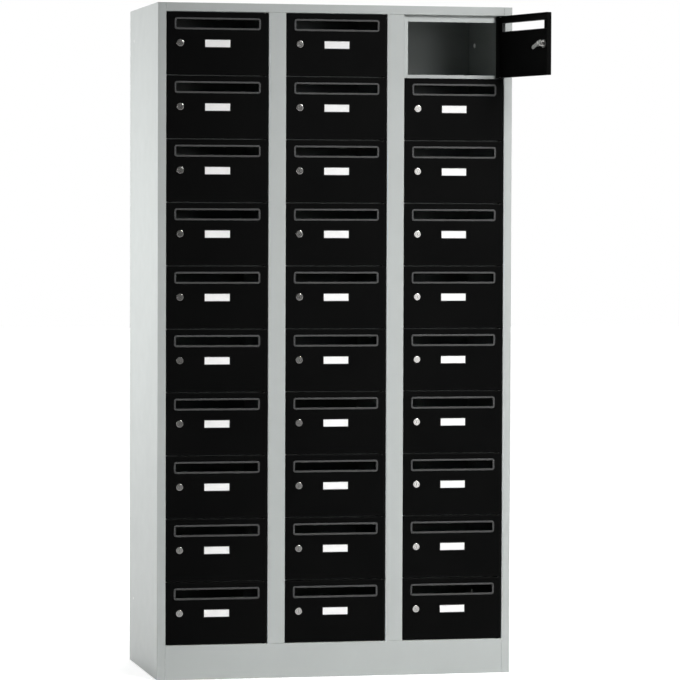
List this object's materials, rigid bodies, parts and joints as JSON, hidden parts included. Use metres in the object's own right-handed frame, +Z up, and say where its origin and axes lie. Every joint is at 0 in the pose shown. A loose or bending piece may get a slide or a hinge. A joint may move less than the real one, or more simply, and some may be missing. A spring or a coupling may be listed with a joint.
{
  "type": "mail distribution cabinet",
  "caption": "Free-standing sheet-steel mail cabinet: columns of small hinged compartments, each door with a letter slot, a name card holder and a cam lock.",
  "frame": {"origin": "on the floor, under the centre of the carcass, the open door left out", "axes": "+X to the right as one faces the doors, +Y into the cabinet, +Z up"},
  "size_m": [1.0417, 0.7522, 1.86],
  "materials": {
    "light_grey_paint": "satin powder coat",
    "black_paint": "satin powder coat",
    "dark_grey_plastic": "fine grained",
    "black_plastic": "fine grained",
    "white_card": "matte",
    "nickel": "satin nickel plate",
    "zinc": "bright zinc plate"
  },
  "bodies": {
    "cabinet": {"left_side_panel": "light_grey_paint", "right_side_panel": "light_grey_paint", "top_panel": "light_grey_paint", "back_panel": "light_grey_paint", "floor_panel": "light_grey_paint", "plinth": "light_grey_paint", "top_rail": "light_grey_paint", "left_middle_post": "light_grey_paint", "right_middle_post": "light_grey_paint", "left_partition": "light_grey_paint", "right_partition": "light_grey_paint", "left_shelves": "light_grey_paint", "middle_shelves": "light_grey_paint", "right_shelves": "light_grey_paint", "stop_rails": "light_grey_paint", "strike_strips": "light_grey_paint", "hinge_tabs": "black_paint", "hinge_pins": "zinc", "hinge_washers": "black_plastic", "joining_hole_plugs": "zinc"},
    "open_door": {"open_door_pan": "black_paint", "open_door_slot_bezel": "dark_grey_plastic", "open_door_card_holder": "black_plastic", "open_door_name_card": "white_card", "open_door_lock_housing": "nickel", "open_door_lock_nut": "zinc"},
    "open_door_lock": {"open_door_lock_plug": "nickel", "open_door_lock_cam": "zinc", "open_door_cam_screw": "zinc"},
    "door_left_1": {"door_left_1": "black_paint"},
    "door_left_2": {"door_left_2": "black_paint"},
    "door_left_3": {"door_left_3": "black_paint"},
    "door_left_4": {"door_left_4": "black_paint"},
    "door_left_5": {"door_left_5": "black_paint"},
    "door_left_6": {"door_left_6": "black_paint"},
    "door_left_7": {"door_left_7": "black_paint"},
    "door_left_8": {"door_left_8": "black_paint"},
    "door_left_9": {"door_left_9": "black_paint"},
    "door_left_10": {"door_left_10": "black_paint"},
    "door_middle_1": {"door_middle_1": "black_paint"},
    "door_middle_2": {"door_middle_2": "black_paint"},
    "door_middle_3": {"door_middle_3": "black_paint"},
    "door_middle_4": {"door_middle_4": "black_paint"},
    "door_middle_5": {"door_middle_5": "black_paint"},
    "door_middle_6": {"door_middle_6": "black_paint"},
    "door_middle_7": {"door_middle_7": "black_paint"},
    "door_middle_8": {"door_middle_8": "black_paint"},
    "door_middle_9": {"door_middle_9": "black_paint"},
    "door_middle_10": {"door_middle_10": "black_paint"},
    "door_right_2": {"door_right_2": "black_paint"},
    "door_right_3": {"door_right_3": "black_paint"},
    "door_right_4": {"door_right_4": "black_paint"},
    "door_right_5": {"door_right_5": "black_paint"},
    "door_right_6": {"door_right_6": "black_paint"},
    "door_right_7": {"door_right_7": "black_paint"},
    "door_right_8": {"door_right_8": "black_paint"},
    "door_right_9": {"door_right_9": "black_paint"},
    "door_right_10": {"door_right_10": "black_paint"}
  },
  "joints": [
    {"name": "door_left_1_hinge", "type": "hinge", "parent": "cabinet", "child": "door_left_1", "pos_m": [-0.20148, -0.2405, 1.749], "axis": [0, 0, 1], "range_deg": [0, 115]},
    {"name": "door_left_2_hinge", "type": "hinge", "parent": "cabinet", "child": "door_left_2", "pos_m": [-0.20148, -0.2405, 1.575], "axis": [0, 0, 1], "range_deg": [0, 115]},
    {"name": "door_left_3_hinge", "type": "hinge", "parent": "cabinet", "child": "door_left_3", "pos_m": [-0.20148, -0.2405, 1.401], "axis": [0, 0, 1], "range_deg": [0, 115]},
    {"name": "door_left_4_hinge", "type": "hinge", "parent": "cabinet", "child": "door_left_4", "pos_m": [-0.20148, -0.2405, 1.227], "axis": [0, 0, 1], "range_deg": [0, 115]},
    {"name": "door_left_5_hinge", "type": "hinge", "parent": "cabinet", "child": "door_left_5", "pos_m": [-0.20148, -0.2405, 1.053], "axis": [0, 0, 1], "range_deg": [0, 115]},
    {"name": "door_left_6_hinge", "type": "hinge", "parent": "cabinet", "child": "door_left_6", "pos_m": [-0.20148, -0.2405, 0.879], "axis": [0, 0, 1], "range_deg": [0, 115]},
    {"name": "door_left_7_hinge", "type": "hinge", "parent": "cabinet", "child": "door_left_7", "pos_m": [-0.20148, -0.2405, 0.705], "axis": [0, 0, 1], "range_deg": [0, 115]},
    {"name": "door_left_8_hinge", "type": "hinge", "parent": "cabinet", "child": "door_left_8", "pos_m": [-0.20148, -0.2405, 0.531], "axis": [0, 0, 1], "range_deg": [0, 115]},
    {"name": "door_left_9_hinge", "type": "hinge", "parent": "cabinet", "child": "door_left_9", "pos_m": [-0.20148, -0.2405, 0.357], "axis": [0, 0, 1], "range_deg": [0, 115]},
    {"name": "door_left_10_hinge", "type": "hinge", "parent": "cabinet", "child": "door_left_10", "pos_m": [-0.20148, -0.2405, 0.183], "axis": [0, 0, 1], "range_deg": [0, 115]},
    {"name": "door_middle_1_hinge", "type": "hinge", "parent": "cabinet", "child": "door_middle_1", "pos_m": [0.13252, -0.2405, 1.749], "axis": [0, 0, 1], "range_deg": [0, 115]},
    {"name": "door_middle_2_hinge", "type": "hinge", "parent": "cabinet", "child": "door_middle_2", "pos_m": [0.13252, -0.2405, 1.575], "axis": [0, 0, 1], "range_deg": [0, 115]},
    {"name": "door_middle_3_hinge", "type": "hinge", "parent": "cabinet", "child": "door_middle_3", "pos_m": [0.13252, -0.2405, 1.401], "axis": [0, 0, 1], "range_deg": [0, 115]},
    {"name": "door_middle_4_hinge", "type": "hinge", "parent": "cabinet", "child": "door_middle_4", "pos_m": [0.13252, -0.2405, 1.227], "axis": [0, 0, 1], "range_deg": [0, 115]},
    {"name": "door_middle_5_hinge", "type": "hinge", "parent": "cabinet", "child": "door_middle_5", "pos_m": [0.13252, -0.2405, 1.053], "axis": [0, 0, 1], "range_deg": [0, 115]},
    {"name": "door_middle_6_hinge", "type": "hinge", "parent": "cabinet", "child": "door_middle_6", "pos_m": [0.13252, -0.2405, 0.879], "axis": [0, 0, 1], "range_deg": [0, 115]},
    {"name": "door_middle_7_hinge", "type": "hinge", "parent": "cabinet", "child": "door_middle_7", "pos_m": [0.13252, -0.2405, 0.705], "axis": [0, 0, 1], "range_deg": [0, 115]},
    {"name": "door_middle_8_hinge", "type": "hinge", "parent": "cabinet", "child": "door_middle_8", "pos_m": [0.13252, -0.2405, 0.531], "axis": [0, 0, 1], "range_deg": [0, 115]},
    {"name": "door_middle_9_hinge", "type": "hinge", "parent": "cabinet", "child": "door_middle_9", "pos_m": [0.13252, -0.2405, 0.357], "axis": [0, 0, 1], "range_deg": [0, 115]},
    {"name": "door_middle_10_hinge", "type": "hinge", "parent": "cabinet", "child": "door_middle_10", "pos_m": [0.13252, -0.2405, 0.183], "axis": [0, 0, 1], "range_deg": [0, 115]},
    {"name": "open_door_hinge", "type": "hinge", "parent": "cabinet", "child": "open_door", "pos_m": [0.46652, -0.2405, 1.749], "axis": [0, 0, 1], "range_deg": [-105, 10]},
    {"name": "door_right_2_hinge", "type": "hinge", "parent": "cabinet", "child": "door_right_2", "pos_m": [0.46652, -0.2405, 1.575], "axis": [0, 0, 1], "range_deg": [0, 115]},
    {"name": "door_right_3_hinge", "type": "hinge", "parent": "cabinet", "child": "door_right_3", "pos_m": [0.46652, -0.2405, 1.401], "axis": [0, 0, 1], "range_deg": [0, 115]},
    {"name": "door_right_4_hinge", "type": "hinge", "parent": "cabinet", "child": "door_right_4", "pos_m": [0.46652, -0.2405, 1.227], "axis": [0, 0, 1], "range_deg": [0, 115]},
    {"name": "door_right_5_hinge", "type": "hinge", "parent": "cabinet", "child": "door_right_5", "pos_m": [0.46652, -0.2405, 1.053], "axis": [0, 0, 1], "range_deg": [0, 115]},
    {"name": "door_right_6_hinge", "type": "hinge", "parent": "cabinet", "child": "door_right_6", "pos_m": [0.46652, -0.2405, 0.879], "axis": [0, 0, 1], "range_deg": [0, 115]},
    {"name": "door_right_7_hinge", "type": "hinge", "parent": "cabinet", "child": "door_right_7", "pos_m": [0.46652, -0.2405, 0.705], "axis": [0, 0, 1], "range_deg": [0, 115]},
    {"name": "door_right_8_hinge", "type": "hinge", "parent": "cabinet", "child": "door_right_8", "pos_m": [0.46652, -0.2405, 0.531], "axis": [0, 0, 1], "range_deg": [0, 115]},
    {"name": "door_right_9_hinge", "type": "hinge", "parent": "cabinet", "child": "door_right_9", "pos_m": [0.46652, -0.2405, 0.357], "axis": [0, 0, 1], "range_deg": [0, 115]},
    {"name": "door_right_10_hinge", "type": "hinge", "parent": "cabinet", "child": "door_right_10", "pos_m": [0.46652, -0.2405, 0.183], "axis": [0, 0, 1], "range_deg": [0, 115]},
    {"name": "open_door_lock_turn", "type": "hinge", "parent": "open_door", "child": "open_door_lock", "pos_m": [0.52774, -0.46896, 1.75], "axis": [-0.9659, -0.2588, 0], "range_deg": [0, 160]}
  ]
}
